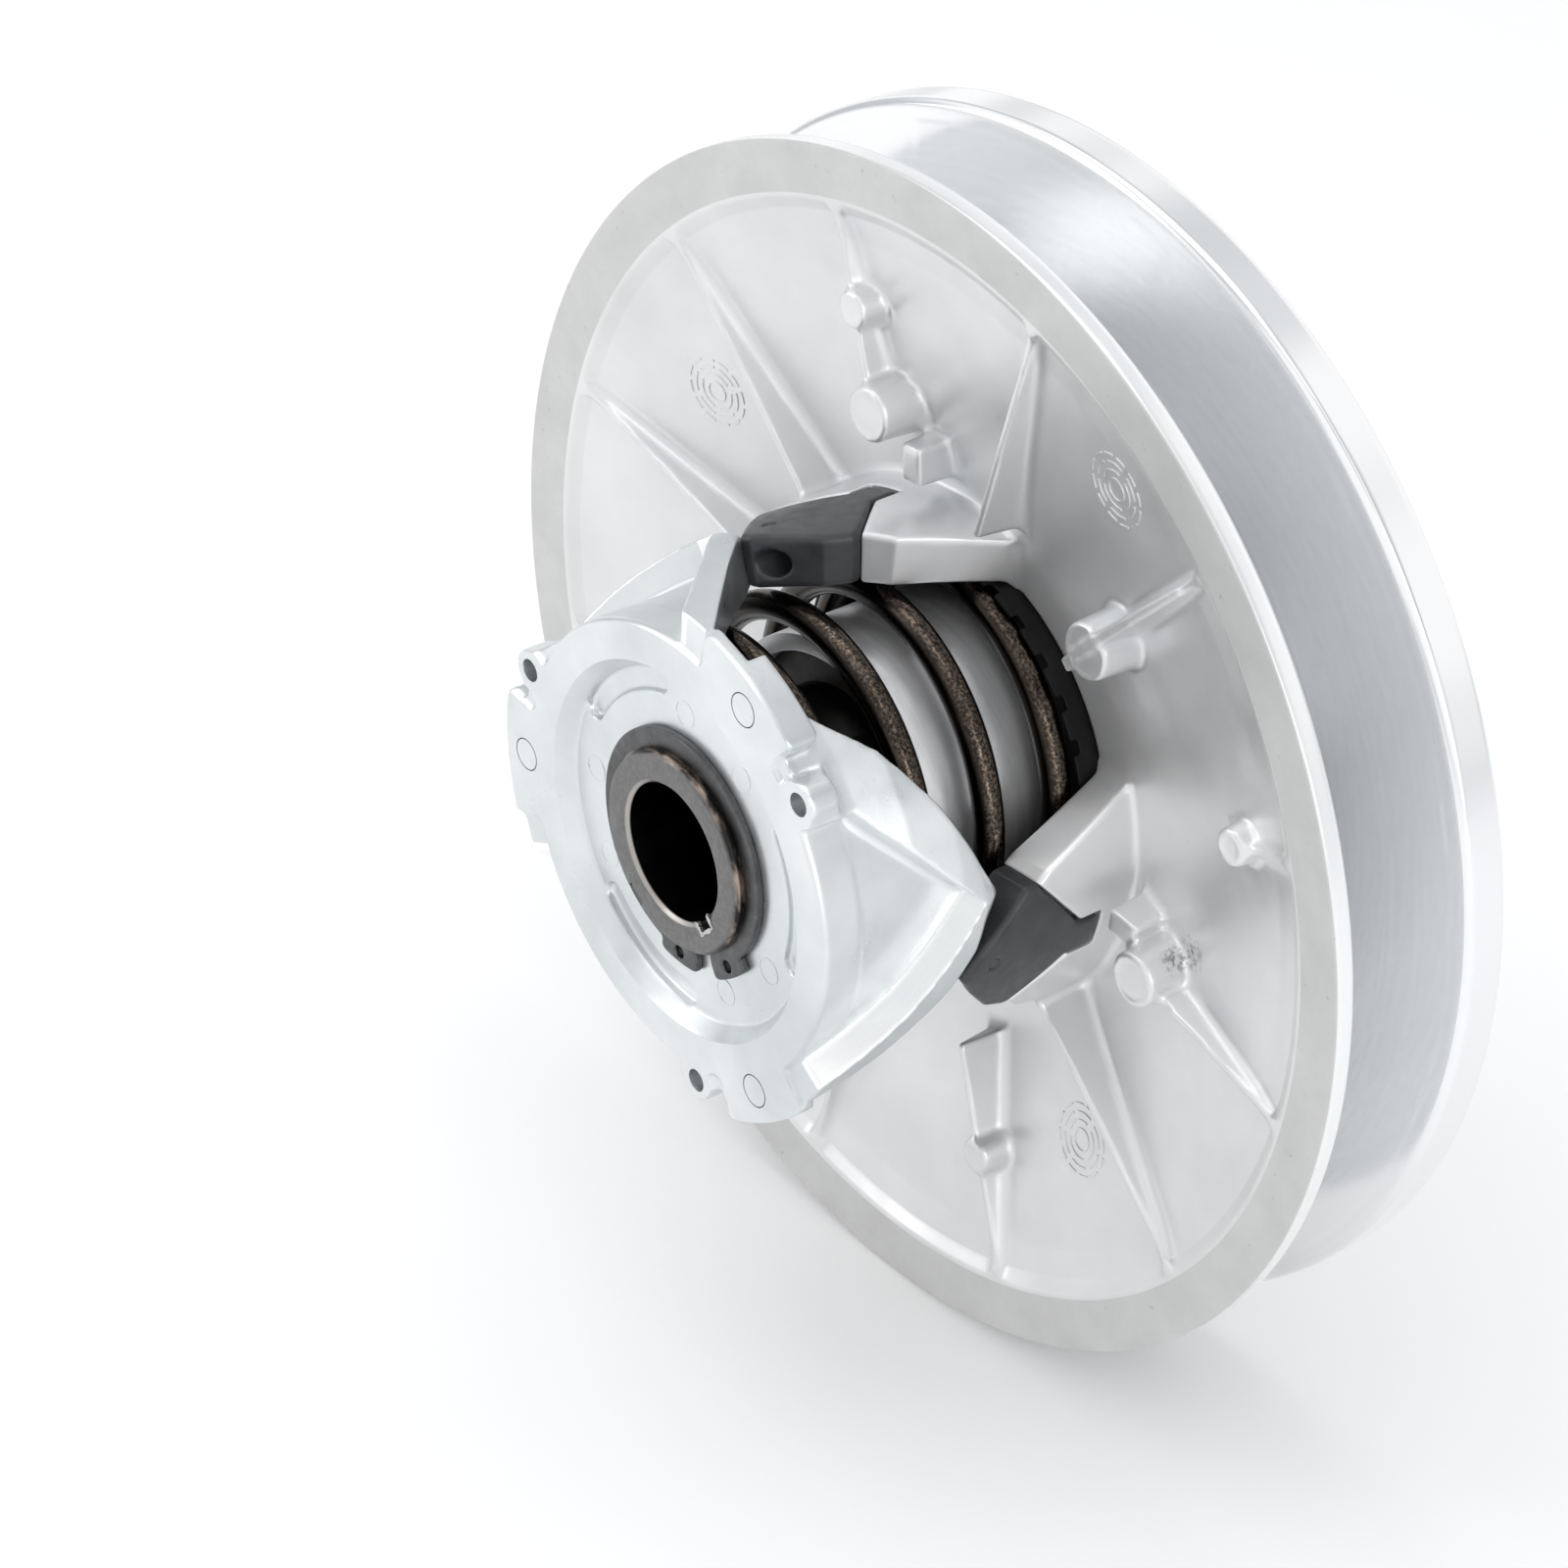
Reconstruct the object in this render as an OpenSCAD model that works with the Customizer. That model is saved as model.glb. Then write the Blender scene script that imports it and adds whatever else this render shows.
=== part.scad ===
// Driven pulley set of a belt drive (secondary clutch), lying on its axis.
// The axis is Y. The cam end points to -Y, the fixed sheave to +Y, and the
// origin is the middle of the shaft bore. Angles grow from +X towards +Z.

/* [Sheaves] */
// Outer radius of the sliding sheave
slide_r = 133; // [130:0.5:135]
// Outer radius of the fixed sheave
fixed_r = 132.5; // [130:0.5:134]
// Half angle of the belt groove, in degrees
belt_angle = 12; // [11.5:0.1:12.2]
// Gap between the two rims when the sheaves are closed
rim_gap = 29.8; // [29.5:0.1:32]
// Inner radius of the belt faces
belt_in_r = 62; // [61:0.5:64]

/* [Hub] */
// Diameter of the shaft bore
bore_d = 30; // [24:0.5:31]
// Outer diameter of the hub tube
hub_d = 44.4; // [43.6:0.1:44.5]
// Length of the hub tube
hub_length = 116.6; // [115:0.1:118]

/* [Cam] */
// Radius of the circle through the three ear holes
ear_pitch_r = 52.9; // [52:0.1:54]
// Diameter of the ear holes
ear_hole_d = 5; // [4:0.1:5.5]
// Rise of the cam ramps, mm along the axis for each degree of turn
ramp_rise = 0.95; // [0.93:0.01:0.97]

/* [Spring] */
// Mean radius of the spring coils
coil_r = 41; // [40.5:0.1:41.2]
// Diameter of the spring wire
wire_d = 6.4; // [5.5:0.1:6.6]

/* [Hidden] */
$fn = 96;

third = 120;                  // the cam, its lobes and the towers repeat every third of a turn
eps = 0.01;
bore_r = bore_d / 2;
hub_r = hub_d / 2;
hub_end = hub_length / 2;
belt_slope = tan(belt_angle);

// Sliding sheave
slide_rim_back = 5.6;         // back corner of its rim
slide_face_r = slide_r - 1.5; // outer end of its belt face
flat_ring_r = 122;            // inner edge of the flat ring on its rim
chamber_r = 45.8;             // the spring chamber
tower_in_r = 46.3;
tower_out_r = 58;
chamber_y = 20;               // floor of the spring chamber
slide_hub_back = 26;
function slide_face_y(r) = slide_rim_back + (slide_face_r - r) * belt_slope;

// Fixed sheave
fixed_face_y = slide_rim_back + rim_gap;
fixed_back = fixed_face_y + 9.9;
recess_r = belt_in_r - 2;
flange_front = 28;            // steel flange of the hub, behind the shims
flange_back = 32;
flange_r = 34;
web_back = 42;
rivet_pitch_r = 29;
function fixed_face(r) = fixed_face_y - (fixed_r - r) * belt_slope * 0.955;

// Sleeve and bushes
sleeve_in_r = 30;
sleeve_out_r = 34;
sleeve_front = -18;
run_gap = 0.05;               // running clearance of the bushes on the hub

// Cam
cam_front = -57.8;
cam_floor = -54;              // bottom of the round recess
cam_inside = -49;             // spring side of the floor
cam_recess_r = 41;
cam_rim_r = 49.4;
pad_r = 58.6;
lobe_in_r = 45.4;
lobe_out_r = 57.5;
pocket_r = 49.9;
ear_angle = 38;
runout_y = -54.4;
slot_depth = 1.6;             // of the curved pockets in the floor
shoe_way_r = 45.9;
// Outline of one lobe, unrolled: [angle, y] along its ramp, round its tip and down its back
ramp_foot = -41;
ramp_end = -8;
function ramp_y(a) = -28 + (a + 13) * ramp_rise;
lobe_back = [
    [-44, -55], [ramp_foot, ramp_y(ramp_foot)], [ramp_end, ramp_y(ramp_end)], [-2.2, -21.2],
    [4.4, -18.1], [9, -20.4], [16, -23.6], [23.3, -27.6], [31, -32], [42, -38.4], [50, -45],
    [57, -49.8], [77, -51]
];
pocket_back = [
    [-37, -60], [-34, -57.8], [-28, -52], [-17, -40.5], [-6, -31], [3, -23.5], [12, -31],
    [27, -44], [32, -47.5], [33, -60]
];

// Shoe, unrolled the same way
shoe_gap = 0.3;
shoe_tail_a = -30.5;
shoe_nose_a = 3;
shoe_in_r = 46.6;
shoe_front = [
    [shoe_tail_a, -12], [-27.5, -17.5], [-20, -23.5], [-15, -26.6], [-12, ramp_y(-12) + shoe_gap],
    [shoe_nose_a, ramp_y(shoe_nose_a) + shoe_gap]
];
shoe_back = [[shoe_tail_a, -10.2], [-20.5, 1], [-10.5, 2], [shoe_nose_a, -9.7]];
tower_front = [
    [-50, 17], [-36, -5.5], [-30.5, -9.9], [-20.5, 1.3], [-10.3, 2.3], [3, -9.5], [5, -7],
    [17.6, 17]
];
tongue_in_r = 49.5;
tongue_out_r = 54.5;
tongue_a = [-23, -5];
pin_angle = -12.5;
pin_y = -19.6;

// Spring: the free length between its seats, and the angle where its first coil starts
seat_t = 1.2;
spring_front = cam_inside + seat_t + 0.1;
spring_back = 16.4;
spring_start = -11;
end_turn = 0.6;               // closed turns at each end
active_turns = 3.27;

// Snap ring
ring_front = -55.8;
ring_back = cam_floor;
groove_r = 20.7;
ring_gap_a = -72;             // middle of its opening
ring_ears = [-92, -53];       // middle of each eared hole
ring_ear_a = 26;
ring_hole_r = 25.6;

// Ribs of the sliding sheave
// [angle, inner end of the ridge, its y there]
ribs = [
    [131, 56, 7], [160, 60, 6], [101.5, 76, 4.6], [72, 66, 4], [43.4, 74, 2.5], [16, 100, 4],
    [-13, 76, 4.6], [-42, 56, 4.5], [-73, 70, 4], [-104, 60, 5], [191, 62, 5], [221, 76, 4.6]
];
// [radius, angle, post radius, front y]
bosses = [
    [76.6, 99.3, 6, 2], [75.8, -12, 6, 2], [76, 220, 6, 2], [76, 42.9, 6.1, 2.2],
    [98.5, 100.5, 3.6, 1.8], [92, -73, 3.6, 2.2], [103, 16, 3.6, 2.6]
];
block_angles = [92.5, -8, 212];
block_r = [63, 71];
block_front = 5.2;

module about_y() rotate([-90, 0, 0]) children();
module at_angle(a) rotate([0, -a, 0]) children();
module tube(r_in, r_out, y0, y1) {
    about_y() difference() {
        translate([0, 0, y0]) cylinder(r = r_out, h = y1 - y0);
        translate([0, 0, y0 - 1]) cylinder(r = r_in, h = y1 - y0 + 2);
    }
}
module disc(r, y0, y1) about_y() translate([0, 0, y0]) cylinder(r = r, h = y1 - y0);
module turned(profile) about_y() rotate_extrude($fn = 180) polygon(profile);
// Flat piece of thickness t standing on the radius at angle a, outline in [radius, y]
module fin(a, t, outline) at_angle(a) linear_extrude(height = t, center = true) polygon(outline);
// Round post along the axis, at radius r and angle a
module post(r, a, post_r, y0, y1, fn = 40) {
    at_angle(a) translate([r, 0, 0]) about_y() translate([0, 0, y0])
        cylinder(r = post_r, h = y1 - y0, $fn = fn);
}

// Solid between two radii whose front and back edges follow [angle, y] tables
function wrap_point(r, a, y) = [r * cos(a), y, r * sin(a)];
module wrapped(front, back, r_in, r_out, a0, a1, step = 3) {
    steps = ceil((a1 - a0) / step);
    angles = [for (i = [0:steps]) a0 + (a1 - a0) * i / steps];
    n = steps + 1;
    points = [for (a = angles) each [
        wrap_point(r_in, a, lookup(a, front)), wrap_point(r_out, a, lookup(a, front)),
        wrap_point(r_out, a, lookup(a, back)), wrap_point(r_in, a, lookup(a, back))
    ]];
    sides = [for (i = [0:n - 2]) for (k = [0:3])
        let (p = 4 * i + k, q = 4 * i + (k + 1) % 4)
        each [[p, p + 4, q], [q, p + 4, q + 4]]
    ];
    ends = [[0, 1, 2], [0, 2, 3], [4 * n - 2, 4 * n - 3, 4 * n - 4], [4 * n - 1, 4 * n - 2, 4 * n - 4]];
    polyhedron(points, concat(sides, ends));
}

// ---- Fixed side ----

module fixed_sheave() {
    color("silver") difference() {
        union() {
            turned([
                [hub_r, flange_back], [recess_r - 3, flange_back], [recess_r, fixed_face(belt_in_r) + 2],
                [belt_in_r, fixed_face(belt_in_r)], [fixed_r - 1.2, fixed_face(fixed_r) - 0.2],
                [fixed_r, fixed_face_y + 0.8], [fixed_r, fixed_back - 0.5], [fixed_r - 0.6, fixed_back],
                [fixed_r - 8, fixed_back], [fixed_r - 10, fixed_back - 3], [fixed_r - 16, fixed_face(116) + 6],
                [66, fixed_face(66) + 7], [52, web_back], [hub_r, web_back]
            ]);
            tube(hub_r, 40, web_back - eps, web_back + 3);
            for (i = [0:11]) fin(15 + i * 30, 4.5, [
                [38, web_back - 4], [38, web_back + 2], [56, web_back + 2], [fixed_r - 9, fixed_back - 1.2],
                [fixed_r - 9, fixed_face(123) + 3], [68, fixed_face(68) + 3]
            ]);
        }
        tube(hub_r - 2, 35, web_back, web_back + 4);
        for (i = [0:5]) post(rivet_pitch_r, i * 60, 3, flange_back - 1, web_back + 4);
    }
}

module hub_tube() {
    color("dimgray") difference() {
        union() {
            disc(hub_r, -hub_end, hub_end);
            disc(flange_r, flange_front, flange_back);
        }
        disc(bore_r, -hub_end - 1, hub_end + 1);
        // keyway of the shaft, along the whole bore
        at_angle(-45) translate([bore_r - 3, -hub_end - 1, -2.5]) cube([5.4, hub_length + 2, 5]);
        tube(groove_r, hub_r + 2, ring_front, ring_back);
        at_angle(-127) translate([hub_r - 2.5, -hub_end - 1, -2.5]) cube([5, hub_end - 44.5, 5]);
        at_angle(53) translate([hub_r - 2.5, cam_floor, -2.5]) cube([5, 8, 5]);
        for (i = [0:5]) post(rivet_pitch_r, i * 60, 3, flange_front - 1, flange_back + 1);
    }
}

module sheave_rivets() {
    color("lightgray") for (i = [0:5]) {
        post(rivet_pitch_r, i * 60, 3, flange_front, web_back + 3);
        post(rivet_pitch_r, i * 60, 5, web_back + 3, web_back + 5.5);
    }
}

module rivet_ring() {
    color("gray") difference() {
        tube(hub_r, 35, web_back, web_back + 3);
        for (i = [0:5]) post(rivet_pitch_r, i * 60, 3, web_back - 1, web_back + 4);
    }
}

module gap_shim_1() color("gainsboro") tube(hub_r + 0.1, 30, slide_hub_back + 0.1, slide_hub_back + 1);
module gap_shim_2() color("gainsboro") tube(hub_r + 0.1, 30, slide_hub_back + 1, flange_front);

// ---- Cam ----

module lobe() {
    difference() {
        wrapped([[-44, cam_front + 1], [77, cam_front + 1]], lobe_back, lobe_in_r, lobe_out_r, -44, 77, 3.03);
        wrapped([[-37, -62], [33, -62]], pocket_back, pocket_r, 66, -37, 33);
    }
}

module cam() {
    color("lightgray") difference() {
        union() {
            difference() {
                tube(cam_recess_r - 2, cam_rim_r, cam_front, cam_inside);
                // way for the shoes at the end of their travel
                for (k = [0:2]) at_angle(k * third - 34.7) about_y() translate([0, 0, runout_y - 0.2])
                    rotate_extrude(angle = 17) translate([shoe_way_r - 0.2, 0]) square([14, 8]);
            }
            tube(hub_r, cam_recess_r, cam_floor, cam_inside);
            tube(hub_r, 28, cam_floor, cam_inside + 3);
            for (k = [0:2]) at_angle(k * third) {
                lobe();
                // pad on the front face, with the foot of the ramp behind it
                at_angle(78) about_y() translate([0, 0, cam_front])
                    rotate_extrude(angle = 30) translate([44, 0]) square([pad_r - 44, 7.4]);
                post(ear_pitch_r, ear_angle, 4.6, cam_front, -43);
                at_angle(ear_angle) translate([46, cam_front, -3.4]) cube([6, 14, 6.8]);
            }
        }
        for (k = [0:2]) at_angle(k * third) {
            post(ear_pitch_r, ear_angle, ear_hole_d / 2, cam_front - 1, cam_front + 13);
            // curved pocket in the floor
            at_angle(34) about_y() translate([0, 0, cam_floor - 1])
                rotate_extrude(angle = 54) translate([33.6, 0]) square([5, 1 + slot_depth]);
            // run-out of the ramp behind the end of the pad
            at_angle(78.5) about_y() translate([0, 0, runout_y])
                rotate_extrude(angle = 8) translate([shoe_way_r, 0]) square([14, 5]);
        }
        for (a = [-127, 53]) at_angle(a) translate([hub_r - 2.5, cam_floor - 1, -2.5]) cube([5, 12, 5]);
    }
}

module cam_key(a) at_angle(a) translate([hub_r - 2.5, cam_floor, -2.5]) cube([5, 8, 5]);
module cam_key_1() color("slategray") cam_key(-127);
module cam_key_2() color("slategray") cam_key(53);

module snap_ring() {
    color("black") difference() {
        union() {
            // thicker opposite its opening
            at_angle(ring_gap_a + 180) translate([0.4, 0, 0]) disc(25.9, ring_front, ring_back);
            for (a = ring_ears) at_angle(a + ring_ear_a / 2) about_y() translate([0, 0, ring_front])
                rotate_extrude(angle = ring_ear_a) translate([22, 0]) square([6.2, ring_back - ring_front]);
        }
        disc(groove_r, ring_front - 1, ring_back + 1);
        at_angle(ring_gap_a) translate([15, ring_front - 1, -2.6]) cube([20, 4, 5.2]);
        for (a = ring_ears) post(ring_hole_r, a, 1.4, ring_front - 1, ring_back + 1);
    }
}

module front_spring_seat() color("dimgray") tube(36, 45, cam_inside, cam_inside + seat_t);

// ---- Spring side ----

function coil_y(t) =
    let (total = active_turns + 2 * end_turn, y0 = spring_front + wire_d / 2, y1 = spring_back - wire_d / 2,
         u = (t * total - end_turn) / active_turns)
    y0 + (y1 - y0) * min(1, max(0, u));
module spring() {
    total = active_turns + 2 * end_turn;
    rings = 118;
    sides = 10;
    points = [for (i = [0:rings]) for (k = [0:sides - 1])
        let (t = i / rings, a = spring_start + 360 * (t * total - end_turn), w = 360 * k / sides,
             r = coil_r + wire_d / 2 * cos(w))
        [r * cos(a), coil_y(t) + wire_d / 2 * sin(w), r * sin(a)]
    ];
    walls = [for (i = [0:rings - 1]) for (k = [0:sides - 1])
        let (p = sides * i + k, q = sides * i + (k + 1) % sides)
        each [[p, p + sides, q], [q, p + sides, q + sides]]
    ];
    caps = [[for (k = [0:sides - 1]) k], [for (k = [0:sides - 1]) sides * (rings + 1) - 1 - k]];
    color("saddlebrown") polyhedron(points, concat(walls, caps));
}

module slip_washer() color("black") tube(36, 44, spring_back, spring_back + 1.4);

// ---- Sliding side ----

module tower() {
    difference() {
        union() {
            wrapped(tower_front, [[-50, chamber_y + 1.5], [17.6, chamber_y + 1.5]],
                tower_in_r, tower_out_r, -50, 17.6);
            // tongue that the shoe is pushed over
            wrapped([[tongue_a[0], -18.4], [-15, -21], [tongue_a[1], -15.5]], [[-50, 5], [17, 5]],
                tongue_in_r, tongue_out_r, tongue_a[0], tongue_a[1]);
        }
        // seat of the shoe's tail
        wrapped([[-21, 0], [-10, 0]], [[-21, 8.4], [-10, 8.4]], 55.4, 62, -20.4, -10.6);
        at_angle(pin_angle) translate([tongue_in_r - 1, pin_y, 0]) rotate([0, 90, 0])
            cylinder(r = 1.2, h = 8, $fn = 24);
    }
}

module sliding_sheave() {
    color("gainsboro") {
        turned([
            [sleeve_out_r, chamber_y], [chamber_r, chamber_y], [chamber_r, 18], [52, 17.2],
            [belt_in_r, 15.2], [80, 11.4], [112, 5.2], [118, 3.4], [flat_ring_r - 1.5, 1.8],
            [flat_ring_r, 1.2], [slide_r - 0.6, 0], [slide_r, 0.5], [slide_r, 3.9],
            [slide_face_r, slide_rim_back], [belt_in_r, slide_face_y(belt_in_r)], [60, 22.4],
            [50, slide_hub_back], [sleeve_out_r, slide_hub_back]
        ]);
        for (rib = ribs) fin(rib[0], 3.4, [
            [rib[1], rib[2]], [flat_ring_r - 1, 2.2], [flat_ring_r - 1, 6],
            [rib[1], slide_face_y(rib[1]) - 2]
        ]);
        for (b = bosses) post(b[0], b[1], b[2], b[3], slide_face_y(b[0]) - 2);
        for (a = block_angles) fin(a, 6, [
            [block_r[0], block_front], [block_r[1], block_front],
            [block_r[1], slide_face_y(block_r[1]) - 2], [block_r[0], slide_face_y(block_r[0]) - 2]
        ]);
        // peg that reaches inwards from the boss at the window
        fin(43.2, 3, [[60.5, 6.5], [73, 6], [73, 14], [60.5, 17]]);
        for (k = [0:2]) at_angle(k * third) tower();
    }
}

module guide_sleeve() color("whitesmoke") tube(sleeve_in_r, sleeve_out_r, sleeve_front, slide_hub_back);
module front_bush() color("tan") tube(hub_r + run_gap, sleeve_in_r, -14, -4);
module rear_bush() color("tan") tube(hub_r + run_gap, sleeve_in_r, 8, slide_hub_back - 0.2);

module rear_spring_seat() {
    color("black") difference() {
        union() {
            tube(sleeve_out_r + 0.2, chamber_r - 0.2, chamber_y - 2, chamber_y);
            tube(chamber_r - 1.3, chamber_r - 0.2, 12.5, chamber_y);
        }
        for (a = [0:12:359]) at_angle(a) translate([chamber_r - 2.5, 12, -1.6]) cube([4, 3.6, 3.2]);
    }
}

module shoe(k) {
    at_angle(k * third) difference() {
        union() {
            wrapped(shoe_front, shoe_back, shoe_in_r, tower_out_r, shoe_tail_a, shoe_nose_a, 1.68);
            // tail that lies on the tower
            wrapped([[-21, -1], [-10, -1]], [[-21, 8.2], [-10, 8.2]], 55.6, tower_out_r, -20.2, -10.8);
        }
        wrapped([[tongue_a[0], -18.4], [-15, -21], [tongue_a[1], -15.5]], [[-50, 6], [17, 6]],
            tongue_in_r, tongue_out_r, tongue_a[0], tongue_a[1]);
        at_angle(pin_angle) translate([shoe_in_r - 1, pin_y, 0]) rotate([0, 90, 0])
            cylinder(r = 1.2, h = 14, $fn = 24);
        post(52.3, -20.5, 3.4, -30, -20.2);
    }
}
module shoe_pin(k) {
    at_angle(k * third + pin_angle) translate([shoe_in_r + 0.4, pin_y, 0]) rotate([0, 90, 0])
        cylinder(r = 1.2, h = 10.7, $fn = 24);
}
module ramp_shoe_1() color("black") shoe(0);
module ramp_shoe_2() color("black") shoe(1);
module ramp_shoe_3() color("black") shoe(2);
module shoe_pin_1() color("gray") shoe_pin(0);
module shoe_pin_2() color("gray") shoe_pin(1);
module shoe_pin_3() color("gray") shoe_pin(2);

fixed_sheave();
hub_tube();
sheave_rivets();
rivet_ring();
gap_shim_1();
gap_shim_2();
cam();
cam_key_1();
cam_key_2();
snap_ring();
front_spring_seat();
spring();
slip_washer();
sliding_sheave();
guide_sleeve();
front_bush();
rear_bush();
rear_spring_seat();
ramp_shoe_1();
ramp_shoe_2();
ramp_shoe_3();
shoe_pin_1();
shoe_pin_2();
shoe_pin_3();
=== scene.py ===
# Driven pulley set: the looks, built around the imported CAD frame.
# Lengths inside the shape code are millimetres; the axis is Y, angles grow from +X towards +Z.
import math

import bmesh
import bpy
import numpy as np
import openvdb
from mathutils import Matrix, Vector
from mathutils.kdtree import KDTree


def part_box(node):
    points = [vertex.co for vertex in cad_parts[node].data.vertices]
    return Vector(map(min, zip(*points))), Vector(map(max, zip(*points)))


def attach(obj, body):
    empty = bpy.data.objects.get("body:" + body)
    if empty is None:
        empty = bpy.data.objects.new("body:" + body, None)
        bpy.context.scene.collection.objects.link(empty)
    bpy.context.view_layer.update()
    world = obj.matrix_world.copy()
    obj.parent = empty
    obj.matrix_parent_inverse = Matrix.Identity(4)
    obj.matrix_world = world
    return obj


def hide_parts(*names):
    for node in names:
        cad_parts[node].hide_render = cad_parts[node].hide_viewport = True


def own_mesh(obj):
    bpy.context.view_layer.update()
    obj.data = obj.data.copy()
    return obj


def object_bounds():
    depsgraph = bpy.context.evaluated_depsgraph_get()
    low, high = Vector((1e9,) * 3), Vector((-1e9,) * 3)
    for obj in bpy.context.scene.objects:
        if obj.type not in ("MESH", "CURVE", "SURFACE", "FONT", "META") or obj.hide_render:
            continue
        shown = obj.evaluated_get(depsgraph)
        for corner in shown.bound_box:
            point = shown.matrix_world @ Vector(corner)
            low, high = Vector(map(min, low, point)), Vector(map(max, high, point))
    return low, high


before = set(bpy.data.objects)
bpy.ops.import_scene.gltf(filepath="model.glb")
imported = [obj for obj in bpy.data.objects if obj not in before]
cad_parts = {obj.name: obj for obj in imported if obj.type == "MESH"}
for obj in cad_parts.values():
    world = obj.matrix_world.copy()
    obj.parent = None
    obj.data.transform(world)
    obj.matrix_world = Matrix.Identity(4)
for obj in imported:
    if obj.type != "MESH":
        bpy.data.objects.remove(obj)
CAD_BOX = [list(corner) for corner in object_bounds()]
MM = 0.001
HUB, SLIDING = "hub_and_cam", "sliding_side"

# ---------------------------------------------------------------- camera


def make_camera(azimuth, elevation, distance, right_shift, up_shift, lens):
    """A camera that looks at the object's middle from an azimuth and elevation, slid sideways and up (mm)."""
    az, el = math.radians(azimuth), math.radians(elevation)
    back = Vector((math.sin(az) * math.cos(el), -math.cos(az) * math.cos(el), math.sin(el)))
    right = Vector((math.cos(az), math.sin(az), 0))
    up = back.cross(right)
    data = bpy.data.cameras.new("camera")
    data.lens, data.sensor_width = lens, 36
    data.clip_start, data.clip_end = 0.05, 20
    camera = bpy.data.objects.new("camera", data)
    camera.matrix_world = Matrix.Translation((back * distance + right * right_shift + up * up_shift) * MM) @ (
        Matrix((right, up, back)).transposed().to_4x4()
    )
    bpy.context.scene.collection.objects.link(camera)
    bpy.context.scene.camera = camera


# fitted to the rims, the hub's end and its bore in the photo
make_camera(azimuth=52.427, elevation=32.212, distance=942.77, right_shift=-23.1, up_shift=-4.8, lens=103.6)

# ---------------------------------------------------------------- solids as distance fields


def smin(a, b, k):
    """Union with a fillet about as wide as k."""
    h = np.maximum(k - np.abs(a - b), 0) / k
    return np.minimum(a, b) - h * h * k * 0.25


def smax(a, b, k):
    """Intersection with an edge rounded over about k."""
    h = np.maximum(k - np.abs(a - b), 0) / k
    return np.maximum(a, b) + h * h * k * 0.25


def polygon_distance(px, py, corners):
    """Signed distance from points to a closed polygon, negative inside."""
    best = np.full(np.broadcast(px, py).shape, 1e9, np.float32)
    sign = np.ones(best.shape, np.float32)
    count = len(corners)
    for i in range(count):
        (ax, ay), (bx, by) = corners[i], corners[i - 1]
        ex, ey = bx - ax, by - ay
        wx, wy = px - ax, py - ay
        t = np.clip((wx * ex + wy * ey) / (ex * ex + ey * ey), 0, 1)
        dx, dy = wx - ex * t, wy - ey * t
        best = np.minimum(best, dx * dx + dy * dy)
        c1, c2, c3 = py >= ay, py < by, ex * wy > ey * wx
        flip = (c1 & c2 & c3) | (~c1 & ~c2 & ~c3)
        sign = np.where(flip, -sign, sign)
    return sign * np.sqrt(best)


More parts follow.
